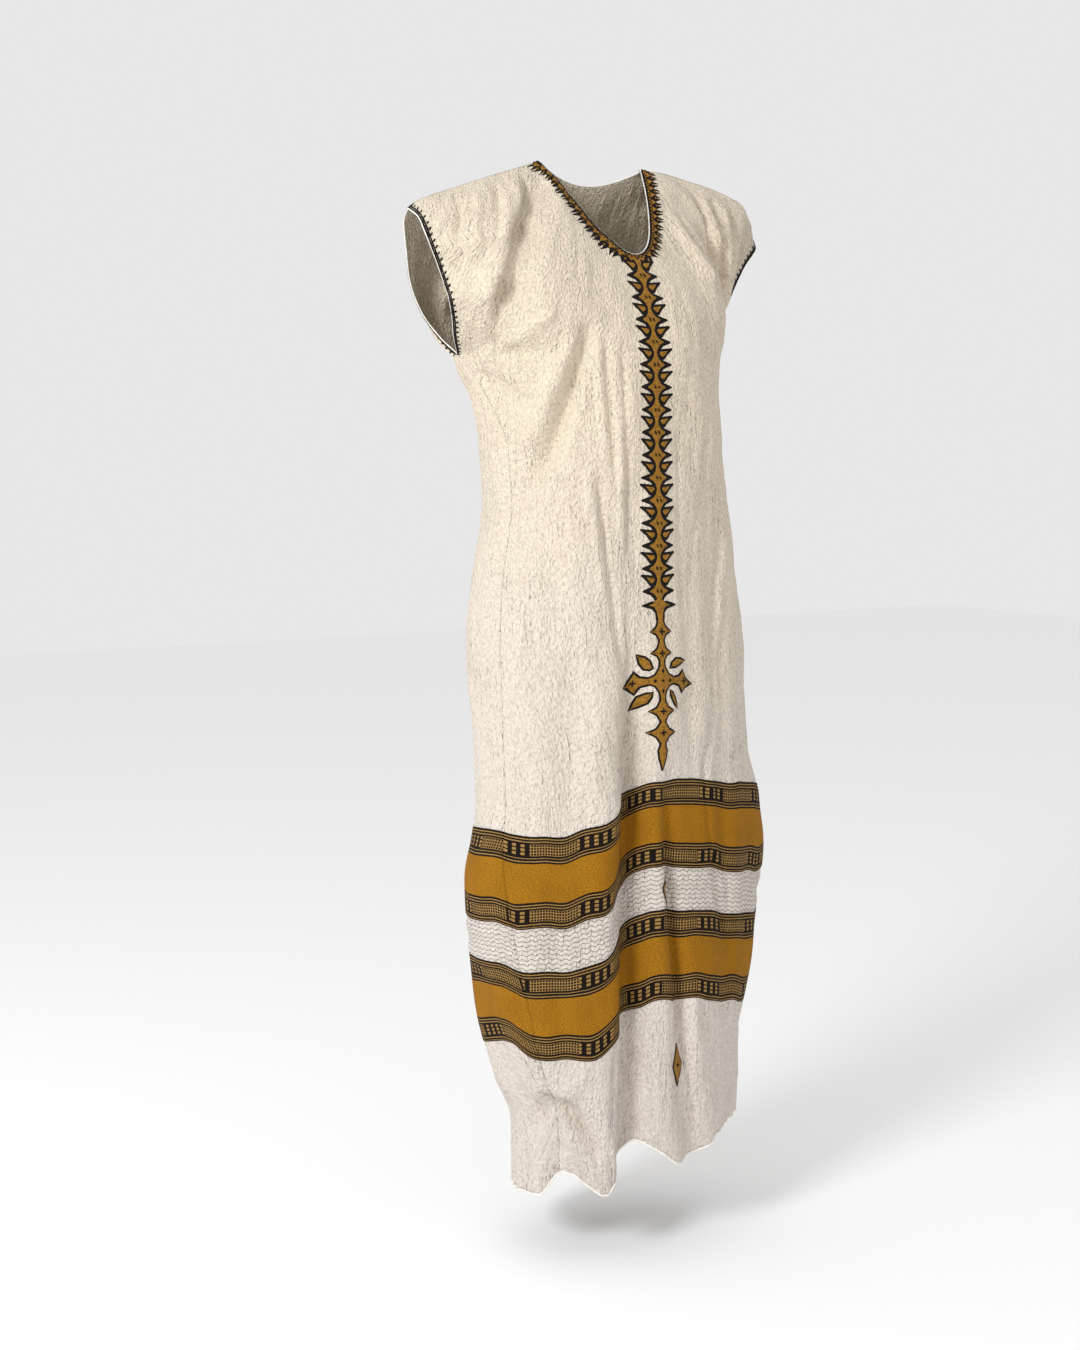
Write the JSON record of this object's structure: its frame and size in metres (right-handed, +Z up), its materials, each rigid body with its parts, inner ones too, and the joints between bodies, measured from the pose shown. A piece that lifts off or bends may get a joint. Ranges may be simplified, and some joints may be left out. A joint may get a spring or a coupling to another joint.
{
  "type": "habesha kemis dress",
  "caption": "Long white cotton dress with a V neck, cap sleeves, embroidered centre front and two woven borders above the hem, in the hollow form it has when worn.",
  "frame": {"origin": "midway between the neck ends of the two shoulder seams, where the dress hangs on the shoulders", "axes": "+Z up along the body, the front faces -Y, +X to the wearer's left"},
  "size_m": [0.56, 0.2754, 1.3589],
  "materials": {
    "cotton_gauze": "handwoven crinkled white cotton gauze, matt",
    "woven_border": "flat woven cotton, mustard ochre with black and gold figured bands",
    "embroidery": "ochre stitches outlined in black thread, slightly raised"
  },
  "bodies": {
    "root": {"front_panel": "cotton_gauze", "back_panel": "cotton_gauze", "front_upper_border": "woven_border", "back_upper_border": "woven_border", "front_lower_border": "woven_border", "back_lower_border": "woven_border", "centre_strip": "embroidery", "cross_motif": "embroidery", "front_neck_band": "embroidery", "back_neck_band": "embroidery"}
  },
  "joints": []
}
